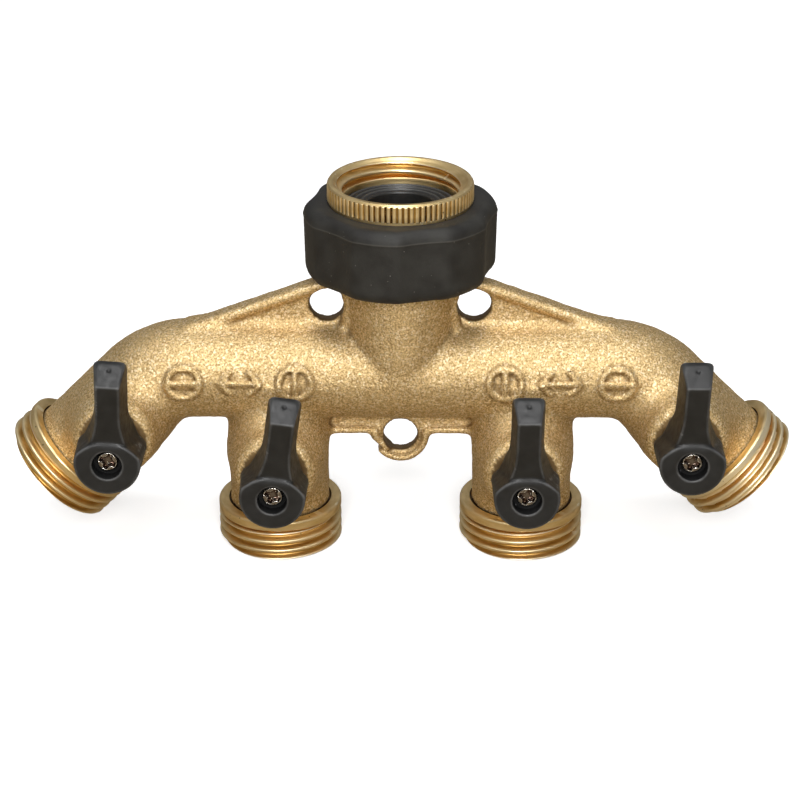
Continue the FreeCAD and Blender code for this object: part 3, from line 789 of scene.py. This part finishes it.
def marks(grid):
    """Raised signs on each side of the inlet.

    A ring barred across stands for shut, one barred upright for open, and a double arrow lies between them.
    """
    x, z = grid.x, grid.z - MARK_Z
    shapes = []
    for side in (-1, 1):
        shut, opened, middle = side * SHUT_X, side * OPEN_X, side * ARROW_X
        for ring_x in (shut, opened):
            shapes.append(np.abs(np.hypot(x - ring_x, z) - MARK_RING_R) - MARK_STROKE)
        shapes.append(stroke(x, z, (shut - MARK_BAR, 0), (shut + MARK_BAR, 0), MARK_STROKE))
        shapes.append(stroke(x, z, (opened, -MARK_BAR), (opened, MARK_BAR), MARK_STROKE))
        shapes.append(stroke(x, z, (middle - ARROW_SHAFT, 0), (middle + ARROW_SHAFT, 0), ARROW_STROKE))
        for end in (-1, 1):
            tip = (middle + end * ARROW_TIP, 0)
            for up in (-1, 1):
                barb = (tip[0] - end * ARROW_BARB, up * ARROW_BARB)
                shapes.append(stroke(x, z, tip, barb, ARROW_STROKE))
    return np.maximum(np.minimum.reduce(shapes), grid.y)


def boss(grid, centre):
    """The tapered round boss in front of a valve's ball."""
    off_stem = np.hypot(grid.x - centre.x, grid.z - centre.z)
    share = np.clip((-grid.y - BOSS_ROOT) / (BOSS_FACE - BOSS_ROOT), 0, 1)
    side = off_stem - (BOSS_ROOT_R + (BOSS_FACE_R - BOSS_ROOT_R) * share)
    return overlap(np.maximum(side, grid.y + BOSS_START), -grid.y - BOSS_FACE, BOSS_ROUND)


def stop_lug(grid, centre):
    """The lug on a boss's face that stops the lever, above the stem and on the inlet's side of it."""
    x, z = grid.x - centre.x, grid.z - centre.z
    off_stem = np.hypot(x, z)
    angle = np.arctan2(z, x * math.copysign(1, centre.x))
    from_middle = np.abs((angle + STOP_MIDDLE) % (2 * math.pi) - math.pi)
    inner, outer = STOP_RADII
    wall = np.abs(off_stem - (inner + outer) / 2) - (outer - inner) / 2
    lug = np.maximum(wall, (from_middle - STOP_HALF_ANGLE) * off_stem)
    return np.maximum(lug, np.maximum(-grid.y - BOSS_FACE - STOP_HEIGHT, grid.y + BOSS_FACE - STOP_ROOT))


def cast_outside(grid):
    """The outside as cast: the tube and its arms, the neck, the webs, the legs and the bosses."""
    z = grid.z
    arm_end = down_arms(grid) - arm_reach(CASTING_END)
    body = overlap(bent_run(grid, TUBE_R, ARM_R), arm_end, END_ROUND)
    neck_r = NECK_R - (NECK_R - NECK_FOOT_R) * np.clip(1 - z / NECK_FULL_Z, 0, 1) ** 2
    neck = np.maximum(np.hypot(grid.x, grid.y) - neck_r, np.maximum(z - NECK_SHOULDER_Z, -z))
    body = union(body, neck, NECK_FILLET)
    body = union(body, upper_webs(grid), UPPER_WEB_FILLET)
    body = union(body, lower_web(grid), LOWER_WEB_FILLET)
    leg_r = LEG_TOP_R - (LEG_TOP_R - LEG_END_R) * np.clip(-z / LEG_LENGTH, 0, 1)
    places = [valve_place(name) for name in VALVES]
    for centre, axis in places:
        if is_upright(axis):
            along, off = along_and_off(grid, centre, axis)
            leg = overlap(np.maximum(off - leg_r, z), along - CASTING_END, END_ROUND)
            body = union(body, leg, LEG_FILLET)
    for centre, axis in places:
        body = union(body, boss(grid, centre), BOSS_FILLET)
    return body


def neck_end(grid):
    """The turned end of the neck, with the groove for the nut's retaining ring."""
    off_inlet = np.hypot(grid.x, grid.y)
    end = union(rod(grid.z, off_inlet, NECK_TURNED_R, 0, NECK_TOP_Z),
                rod(grid.z, off_inlet, NECK_R, 0, NECK_SHOULDER_Z))
    bottom, top = RING_GROOVE_Z
    groove = np.maximum(RING_GROOVE_R - off_inlet, np.abs(grid.z - (bottom + top) / 2) - (top - bottom) / 2)
    return cut(np.maximum(end, NECK_TURNED_FROM_Z - grid.z), groove)


def casting_hollow(grid):
    """The bores of the tube, arms and neck, and each valve's port, chamber, fitting hole and stem hole."""
    hollow = np.maximum(bent_run(grid, BORE_R, BORE_R), down_arms(grid) - BEND_END)
    hollow = union(hollow, rod(grid.z, np.hypot(grid.x, grid.y), BORE_R, 0, NECK_TOP_Z + CLEAR))
    for name in VALVES:
        centre, axis = valve_place(name)
        along, off = along_and_off(grid, centre, axis)
        off_stem = np.hypot(grid.x - centre.x, grid.z - centre.z)
        reach = -centre.z if is_upright(axis) else arm_reach(0) - BEND_END
        hollow = union(hollow, rod(along, off, PORT_R, -reach, 0))
        hollow = union(hollow, rod(along, off, CHAMBER_R, -CHAMBER_HALF, CHAMBER_HALF))
        hollow = union(hollow, rod(along, off, FITTING_HOLE_R, CHAMBER_HALF, CASTING_END + CLEAR))
        hollow = union(hollow, rod(-grid.y, off_stem, POCKET_R, 0, POCKET_END))
        hollow = union(hollow, rod(-grid.y, off_stem, STEM_HOLE_R, 0, BOSS_FACE + CLEAR))
    return hollow


def casting_distance(grid):
    """The brass body, outside and inside."""
    body = cast_outside(grid)
    body = union(body, np.maximum(marks(grid), body - MARK_HEIGHT), MARK_FILLET)
    for name in VALVES:
        body = union(body, stop_lug(grid, valve_place(name)[0]))
    body = cut(union(body, neck_end(grid)), casting_hollow(grid))
    for hole_x, hole_z in FIXING_HOLES:
        hole = np.hypot(np.abs(grid.x) - hole_x, grid.z - hole_z) - FIX_HOLE_R
        body = cut(body, hole, HOLE_ROUND)
    return body


def machined_places(points):
    """1 at the points on the valves' flat faces, in the fixing holes and on the turned end of the neck."""
    x, y, z = points.T
    found = (z > NECK_SHOULDER_Z - 0.3) & (np.hypot(x, y) < NECK_R - 0.4)
    for hole_x, hole_z in FIXING_HOLES:
        found |= (np.hypot(np.abs(x) - hole_x, z - hole_z) < FIX_HOLE_R + 0.2) & (np.abs(y) < BEAD_HALF)
    for name in VALVES:
        centre = valve_place(name)[0]
        off_stem = np.hypot(x - centre.x, z - centre.z)
        found |= (y < 0.12 - BOSS_FACE) & (off_stem < BOSS_FACE_R - 0.5)
    return found


def build_casting():
    """The brass body, with a sandy texture wherever it isn't machined."""
    grid = Grid(*CASTING_BOX, CASTING_STEP)
    points, faces = grid.surface(casting_distance(grid))
    casting = add_mesh("casting", points, faces)
    machined = machined_places(points)
    attribute = casting.data.attributes.new("machined", "FLOAT", "POINT")
    attribute.data.foreach_set("value", machined.astype(np.float32))
    as_cast = casting.vertex_groups.new(name="as_cast")
    as_cast.add(np.flatnonzero(~machined).tolist(), 1.0, "REPLACE")
    for label, size, depth in CAST_TEXTURE:
        clouds = bpy.data.textures.new(label, "CLOUDS")
        clouds.noise_scale = size
        displace = casting.modifiers.new(label, "DISPLACE")
        displace.texture = clouds
        displace.strength = depth
        displace.mid_level = 0.5
        displace.vertex_group = as_cast.name
    shown_for(casting, "manifold_casting", "manifold", MATERIALS["cast_brass"])


# ---------------------------------------------------------------- turned pieces

def build_outlet_fitting(name):
    """An outlet's end: shoulder ring, male hose thread and open mouth."""
    centre, axis = valve_place(name)
    sizes = FITTINGS["inner" if is_upright(axis) else "outer"]
    end, shoulder = sizes["end"], sizes["shoulder"]
    ring_bottom = shoulder - sizes["ring_height"]
    outline = rounded([
        (PORT_R, SPIGOT_TOP, 0.3),
        (SPIGOT_R, SPIGOT_TOP, 0.3),
        (SPIGOT_R, SHOULDER_RECESS_FLOOR, 0),
        (SHOULDER_RECESS_R, SHOULDER_RECESS_FLOOR, 0.1),
        (SHOULDER_RECESS_RIM_R, shoulder, 0.2),
        (MALE_R, shoulder, 0.55),
        (MALE_R, ring_bottom, 0.45),
        (MALE_ROOT_R, ring_bottom, 0.25),
        (MALE_ROOT_R, end, 0.35),
        (MOUTH_R, end, 0.5),
        (MOUTH_R, MOUTH_TOP, 0.4),
        (PORT_R, PORT_BOTTOM, 0.4),
    ], 0.14)

    def relief(radius, height, angle):
        stands = thread_height(height, angle, sizes["front_crest"])
        stands = stands * np.clip((ring_bottom - RUN_OUT - height) / RUN_OUT, 0, 1)
        crest = MALE_ROOT_R + (MALE_R - MALE_ROOT_R) * stands
        crest = np.minimum(crest, MALE_R - MALE_LEAD_IN + (height - end))
        threaded = (radius > MALE_ROOT_R - SLACK) & (height < ring_bottom + SLACK) & (height > end + 0.2)
        in_recess = (height > SHOULDER_RECESS_FLOOR - 0.1) & (radius < SHOULDER_RECESS_RIM_R + 0.05)
        hollow = np.where(threaded, 1 - stands, RECESS_SHADE * in_recess)
        return np.where(threaded, np.maximum(radius, crest), radius), hollow

    turn = math.atan2(-axis.x, -axis.z)
    fitting = turned("fitting_" + name, outline, 192, relief, turn, CROSSING + centre * MM)
    shown_for(fitting, "outlet_fitting_" + name, "manifold", MATERIALS["turned_brass"])


def nut_relief(radius, height, angle):
    """The nut's thread inside and its uneven knurl outside."""
    stands = thread_height(height, angle, NUT_FRONT_CREST)
    depth = FEMALE_MAJOR_R - FEMALE_MINOR_R
    crest = FEMALE_MAJOR_R - depth * stands
    crest = np.maximum(crest, FEMALE_MINOR_R + depth * np.clip(height - NUT_TOP + NUT_LEAD_IN, 0, 1))
    threaded = (radius < FEMALE_MAJOR_R + SLACK) & (radius > FEMALE_MINOR_R) & (height > NUT_LAND[1])
    radius = np.where(threaded, np.minimum(radius, crest), radius)
    wave = np.abs((angle * KNURL_TEETH / (2 * math.pi)) % 1 - 0.5) * 2
    gap = 1 - np.clip((wave - KNURL_GAP) / KNURL_FLANK, 0, 1)
    uneven = 0.75 + 0.25 * np.sin(angle * 7 + 1) * np.sin(angle * 17)
    knurled = (radius > NUT_R + 0.1) & (height < KNURL_TOP + 0.1)
    hollow = np.where(threaded, 1 - stands, 0) + np.where(knurled, KNURL_SHADE * gap * uneven, 0)
    return np.where(knurled, radius - KNURL_DEPTH * gap * uneven, radius), hollow


def build_swivel_nut():
    """The knurled nut, with the female hose thread inside its top."""
    land_bottom, land_top = NUT_LAND
    outline = rounded([
        (NUT_HOLE_R, NUT_BOTTOM, 0.3),
        (NUT_R, NUT_BOTTOM, 0.4),
        (NUT_R, KNURL_BOTTOM - 0.1, 0.05),
        (KNURL_R, KNURL_BOTTOM + 0.1, 0.1),
        (KNURL_R, KNURL_TOP, 0.15),
        (NUT_TOP_R, NUT_TOP, 0.3),
        (FEMALE_MAJOR_R + NUT_RIM, NUT_TOP, 0.2),
        (FEMALE_MAJOR_R, NUT_TOP - 0.6, 0.15),
        (FEMALE_MAJOR_R, land_top + 0.4, 0.2),
        (FEMALE_MINOR_R, land_top, 0.2),
        (FEMALE_MINOR_R, land_bottom, 0.1),
        (NUT_CHAMBER_R, land_bottom, 0.1),
        (NUT_CHAMBER_R, NUT_FLOOR_TOP, 0.2),
        (NUT_HOLE_R, NUT_FLOOR_TOP, 0.2),
    ], 0.16)
    nut = turned("nut", outline, 640, nut_relief)
    shown_for(nut, "swivel_nut", "swivel", MATERIALS["turned_brass"])


def grip_relief(radius, height, angle):
    """The grip's flutes, its draft and its parting line, all fading towards the hole."""
    turn = (angle - FIRST_FLUTE + math.pi / FLUTES) % (2 * math.pi / FLUTES) - math.pi / FLUTES
    distance = GRIP_R - FLUTE_DEPTH + FLUTE_R
    inside = np.maximum(FLUTE_R ** 2 - (distance * np.sin(turn)) ** 2, 0)
    flute = distance * np.cos(turn) - np.sqrt(inside)
    flute = np.where(np.abs(np.sin(turn)) * distance < FLUTE_R, flute, GRIP_R + CLEAR)
    lobe = union(np.full_like(flute, GRIP_R), flute, FLUTE_ROUND)
    share = np.clip((radius - GRIP_NUT_HOLE_R) / (GRIP_R - GRIP_NUT_HOLE_R), 0, 1)
    draft = GRIP_DRAFT * np.clip((PARTING_Z - height) / (GRIP_TOP - GRIP_BOTTOM), 0, 1)
    parting = np.exp(-((height - PARTING_Z) / PARTING_WIDTH) ** 2)
    return radius + share * (lobe - GRIP_R - draft + PARTING_RISE * parting), -share * parting


def build_grip():
    """The rubber grip: six lobes and six flutes, slightly narrower at the bottom."""
    outline = rounded([
        (GRIP_NECK_HOLE_R, GRIP_BOTTOM, 0.6),
        (GRIP_R, GRIP_BOTTOM, GRIP_BOTTOM_ROUND),
        (GRIP_R, GRIP_TOP, GRIP_TOP_ROUND),
        (GRIP_NUT_HOLE_R, GRIP_TOP, 0.3),
        (GRIP_NUT_HOLE_R, GRIP_FLOOR_TOP, 0),
        (GRIP_NECK_HOLE_R, GRIP_FLOOR_TOP, 0),
    ], 0.35)
    grip = turned("grip", outline, 240, grip_relief)
    shown_for(grip, "nut_grip", "swivel", MATERIALS["rubber"])


def build_washer():
    """The hose washer at the bottom of the nut, with three round ribs on its face."""
    inner, outer = WASHER_RADII
    outline = rounded([
        (inner, WASHER_BOTTOM, 0.2),
        (outer, WASHER_BOTTOM, 0.2),
        (outer, WASHER_TOP, 0.3),
        (inner, WASHER_TOP, 0.4),
    ], 0.12)
    ribs = sum(np.exp(-((outline[:, 0] - rib) / WASHER_RIB_WIDTH) ** 2) for rib in WASHER_RIBS)
    ribs = ribs * (outline[:, 1] > WASHER_TOP - 0.05)
    outline[:, 1] += WASHER_RIB_HEIGHT * ribs

    def relief(radius, height, angle):
        return radius, -np.repeat(ribs[:, None], radius.shape[1], axis=1)

    washer = turned("washer", outline, 128, relief)
    shown_for(washer, "inlet_washer", "swivel", MATERIALS["seal_rubber"])


# ---------------------------------------------------------------- levers and screws

def lever_hub(x, depth, z):
    """The round hub, cut away above its hips and chamfered at the top of its front."""
    hub_r = HUB_BACK_R + (HUB_FRONT_R - HUB_BACK_R) * (depth - HUB_BACK) / (HUB_FRONT - HUB_BACK)
    hub = overlap(np.hypot(x, z) - hub_r, np.maximum(HUB_BACK - depth, depth - HUB_FRONT), HUB_ROUND)
    hip = x * math.sin(HIP_SLOPE) + z * math.cos(HIP_SLOPE) - HIP_REACH + HIP_DRAFT * (HUB_FRONT - depth)
    hub = overlap(hub, overlap(hip, z - HIP_HEIGHT, HIP_ROUND), 0.5)
    height, slope = HUB_CHAMFER
    chamfer = ((depth - HUB_FRONT) + slope * (z - height)) / math.hypot(1, slope)
    return overlap(hub, chamfer, 0.3)


def lever_blade(x, depth, z):
    """The blade: flared at its foot, leaning forward to a crest, and sloping back from there to its tip."""
    crest_depth, crest_z = CREST
    foot_depth, foot_z = BLADE_FOOT
    run, rise = crest_depth - foot_depth, crest_z - foot_z
    front = ((depth - crest_depth) * rise - (z - crest_z) * run) / math.hypot(run, rise)
    front_depth = foot_depth + run * np.clip((z - foot_z) / rise, 0, 1)
    bend_depth, bend_z = BACK_BEND
    lower, upper = [bend_depth + slope * (z - bend_z) for slope in BACK_SLOPES]
    slanted_back = np.minimum(lower, upper)
    back = np.maximum((slanted_back - depth) * BACK_SCALE, BLADE_BACK - depth)
    back_depth = np.maximum(BLADE_BACK, slanted_back)
    below = np.clip(FLARE_TOP - z, 0, FLARE_TOP)
    front_half = BLADE_FRONT_HALF + FRONT_FLARE_R - np.sqrt(FRONT_FLARE_R ** 2 - below ** 2)
    back_half = BLADE_BACK_HALF + BACK_FLARE_R - np.sqrt(BACK_FLARE_R ** 2 - below ** 2)
    share = np.clip((front_depth - depth) / (front_depth - back_depth), 0, 1.1)
    sides = (x - front_half - (back_half - front_half) * share) * SIDE_SCALE
    run, rise = crest_depth - TIP_FRONT, BLADE_TOP - crest_z
    tip = ((depth - crest_depth) * rise + (z - crest_z) * run) / math.hypot(run, rise)
    blade = overlap(overlap(sides, z - BLADE_TOP, TIP_ROUND), overlap(front, tip, 0.3), 0.5)
    return np.maximum(overlap(blade, back, 0.5), -z)


def lever_distance(grid):
    """The moulded lever, with its dimple, counterbore, screw hole, stem socket and stop slot."""
    x, depth, z = np.abs(grid.x), -grid.y, grid.z
    off = np.hypot(x, z)
    lever = union(lever_hub(x, depth, z), lever_blade(x, depth, z), 0.4)
    dimple = np.sqrt(x ** 2 + (depth - DIMPLE[0]) ** 2 + (z - DIMPLE[1]) ** 2) - DIMPLE_R
    lever = cut(lever, dimple, 0.2)
    off_low = np.hypot(x, z + COUNTERBORE_DROP)
    lever = cut(lever, rod(depth, off_low, COUNTERBORE_R, COUNTERBORE_FLOOR, LEVER_FRONT_CLEAR), 0.35)
    lever = cut(lever, rod(depth, off, SCREW_R + SCREW_HOLE_GAP, 0, LEVER_FRONT_CLEAR))
    lever = cut(lever, np.maximum(np.maximum(x, np.abs(z)) - SOCKET_HALF, depth - SOCKET_END))
    angle = np.abs(np.arctan2(x, -z))
    slot = np.maximum(np.abs(off - STOP_SLOT_R) - STOP_SLOT_HALF, (angle - STOP_SLOT_HALF_ANGLE) * off)
    return cut(lever, np.maximum(slot, depth - BLADE_BACK + STOP_SLOT_DEPTH))


def screw_distance(grid):
    """A pan head screw with a wide cross recess."""
    across, depth, up = np.abs(grid.x), -grid.y, np.abs(grid.z)
    off = np.hypot(across, up)
    front = COUNTERBORE_FLOOR + SCREW_HEAD_HEIGHT
    head = rod(depth, off, SCREW_HEAD_R, COUNTERBORE_FLOOR, LEVER_FRONT_CLEAR)
    head = overlap(head, depth - front, SCREW_HEAD_ROUND)
    screw = union(head, rod(depth, off, SCREW_R, SCREW_TIP, COUNTERBORE_FLOOR + 0.3))
    below = front - depth
    level_arm = np.maximum(across - CROSS_REACH, up - CROSS_HALF)
    upright_arm = np.maximum(up - CROSS_REACH, across - CROSS_HALF)
    arms = union(level_arm, upright_arm, CROSS_FILLET)
    recess = overlap(arms + CROSS_TAPER * below, below - CROSS_DEPTH, 0.3)
    return cut(screw, recess, 0.15)


def lever_lean(name):
    """How far a lever leans towards +X at rest: its open stop is always the same way past upright."""
    return math.radians(OPEN_STOP + JOINTS["lever_turn_" + name]["range_deg"][0])


def build_levers():
    """Each valve's lever and the screw that holds it, leaning as its joint rests."""
    grid = Grid(*LEVER_BOX, LEVER_STEP)
    lever_points, lever_faces = grid.surface(lever_distance(grid))
    off_low = np.hypot(lever_points[:, 0], lever_points[:, 2] + COUNTERBORE_DROP)
    in_counterbore = (off_low < COUNTERBORE_R + 0.1) & (lever_points[:, 1] < -SOCKET_END)
    grid = Grid(*SCREW_BOX, SCREW_STEP)
    screw_points, screw_faces = grid.surface(screw_distance(grid))
    for name in VALVES:
        centre = CROSSING + valve_place(name)[0] * MM
        lean = lever_lean(name)
        body = "valve_" + name
        lever = add_mesh("handle_" + name, lever_points, lever_faces, lean, centre)
        even = lever.modifiers.new("even", "SMOOTH")
        even.iterations = 2
        attribute = lever.data.attributes.new("machined", "FLOAT", "POINT")
        attribute.data.foreach_set("value", in_counterbore.astype(np.float32))
        shown_for(lever, "lever_" + name, body, MATERIALS["lever_plastic"])
        screw = add_mesh("screw_" + name, screw_points, screw_faces, lean + SCREW_TURN, centre)
        shown_for(screw, "lever_screw_" + name, body, MATERIALS["screw_steel"])


# ---------------------------------------------------------------- studio

def floor_paper():
    """White paper that throws little light back at the brass."""
    finish = Finish("paper", (0.93, 0.93, 0.93), 0.0, 0.9)
    seen = finish.add("ShaderNodeLightPath").outputs["Is Camera Ray"]
    fibres = finish.remap(finish.noise(0.02, 3.0), 0.3, 0.7, 0.985, 1.0)
    pale = finish.mix(fibres, (0.85, 0.85, 0.85), FLOOR_SEEN)
    finish.set("Base Color", finish.mix(seen, FLOOR_BOUNCE, pale))
    finish.set("Specular IOR Level", 0.0)
    finish.set("Emission Color", (1, 1, 1, 1))
    finish.set("Emission Strength", finish.math("MULTIPLY", seen, FLOOR_GLOW))
    return finish.material


def build_floor():
    """The paper under the part, level with its lowest point."""
    bpy.ops.mesh.primitive_plane_add(size=FLOOR_SIZE, location=(0, 0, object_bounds()[0][2]))
    floor = bpy.context.object
    floor.name = "floor"
    floor.data.materials.append(floor_paper())


def build_room():
    """Soft white light from all round, stronger from above."""
    world = bpy.data.worlds.new("studio")
    bpy.context.scene.world = world
    world.use_nodes = True
    nodes, links = world.node_tree.nodes, world.node_tree.links
    direction = nodes.new("ShaderNodeSeparateXYZ")
    links.new(nodes.new("ShaderNodeTexCoord").outputs["Generated"], direction.inputs["Vector"])
    strength = nodes.new("ShaderNodeMapRange")
    links.new(direction.outputs["Z"], strength.inputs["Value"])
    strength.inputs["From Max"].default_value = ROOM_LIGHT_FULL
    strength.inputs["To Min"].default_value, strength.inputs["To Max"].default_value = ROOM_LIGHT
    links.new(strength.outputs["Result"], nodes["Background"].inputs["Strength"])
    nodes["Background"].inputs["Color"].default_value = (1, 1, 1, 1)


def build_softboxes():
    """The lamps, each turned to face the part."""
    for name, place, size, power in SOFTBOXES:
        light = bpy.data.lights.new(name, "AREA")
        light.shape = "RECTANGLE"
        light.size, light.size_y = size
        light.energy = power
        obj = bpy.data.objects.new(name, light)
        obj.location = place
        obj.rotation_euler = (-Vector(place)).to_track_quat("-Z", "Y").to_euler()
        bpy.context.scene.collection.objects.link(obj)


def build_camera():
    """The camera, in front of the part and looking down at it."""
    data = bpy.data.cameras.new("camera")
    camera = bpy.data.objects.new("camera", data)
    bpy.context.scene.collection.objects.link(camera)
    data.sensor_width = CAMERA_SENSOR
    data.lens = CAMERA_LENS
    data.shift_x, data.shift_y = CAMERA_SHIFT
    data.clip_end = CAMERA_CLIP
    x, y, z = CAMERA_PLACE
    stand = Matrix.Translation((x, y, z + CROSSING.z)) @ Matrix.Rotation(CAMERA_PITCH, 4, "X")
    camera.matrix_world = Matrix.Rotation(CAMERA_YAW, 4, "Z") @ stand
    bpy.context.scene.camera = camera
    bpy.context.scene.view_settings.view_transform = "Standard"


for part in frame["record"]["subparts"]:
    node = frame["nodes"][part["node"]]
    node.data.materials.clear()
    node.data.materials.append(MATERIALS[part["material_slot"]])

build_casting()
for valve_name in VALVES:
    build_outlet_fitting(valve_name)
build_swivel_nut()
build_grip()
build_washer()
build_levers()
build_floor()
build_room()
build_softboxes()
build_camera()
